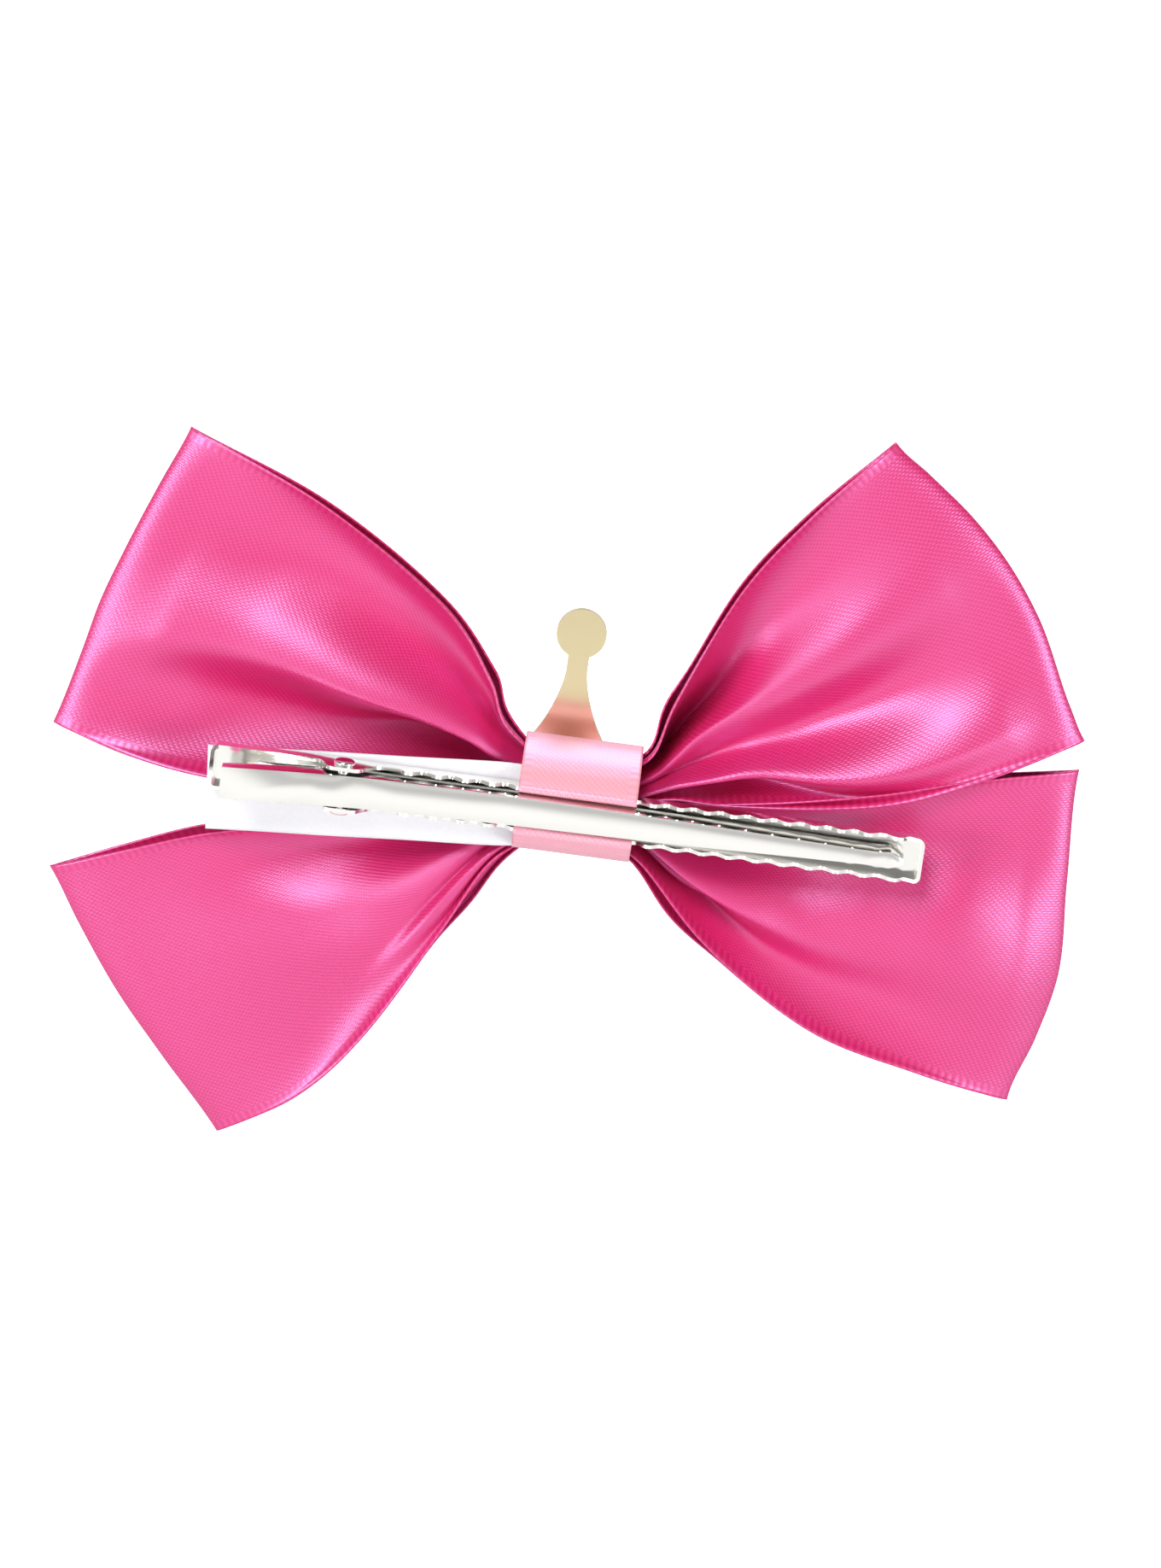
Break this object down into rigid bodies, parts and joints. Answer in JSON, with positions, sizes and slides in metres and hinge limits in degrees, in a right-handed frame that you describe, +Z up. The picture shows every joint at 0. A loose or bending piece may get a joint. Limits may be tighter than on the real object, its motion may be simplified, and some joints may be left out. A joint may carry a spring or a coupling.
{
  "type": "alligator hair clip with ribbon bow",
  "caption": "Sprung alligator hair clip carrying a satin ribbon bow with a centre wrap and a small crown at its front.",
  "frame": {"origin": "on the inner floor of the clip's base tray, under the middle of the centre wrap, where the jaw grips the hair", "axes": "+X along the clip towards the jaw tip, +Z up along the crown, -Y out of the clip's back, where the lever opens; the bow's front faces +Y"},
  "size_m": [0.1082, 0.0226, 0.0838],
  "materials": {
    "clip_metal": "bright nickel plate",
    "spring_steel": "plain",
    "bow_satin": "satin ribbon",
    "wrap_satin": "satin ribbon",
    "thread": "matt",
    "label_tape": "woven white tape",
    "glue": "hot-melt, translucent",
    "crown_gold": "pale gold plate, polished"
  },
  "bodies": {
    "clip_body": {"clip_base": "clip_metal", "pivot_pin": "clip_metal", "leaf_spring": "spring_steel", "ribbon_strip_a": "bow_satin", "ribbon_strip_b": "bow_satin", "gather_thread": "thread", "centre_wrap": "wrap_satin", "blank_label": "label_tape", "clip_glue": "glue", "crown_plate": "crown_gold", "crown_glue": "glue"},
    "lever": {"clip_lever": "clip_metal"}
  },
  "joints": [
    {"name": "lever_hinge", "type": "hinge", "parent": "clip_body", "child": "lever", "pos_m": [-0.0248, -0.00245, 0], "axis": [0, 0, -1], "range_deg": [0, 18], "stiffness_Nm_per_rad": 0.1, "springref_deg": -57.3, "deforming": ["leaf_spring"]}
  ]
}
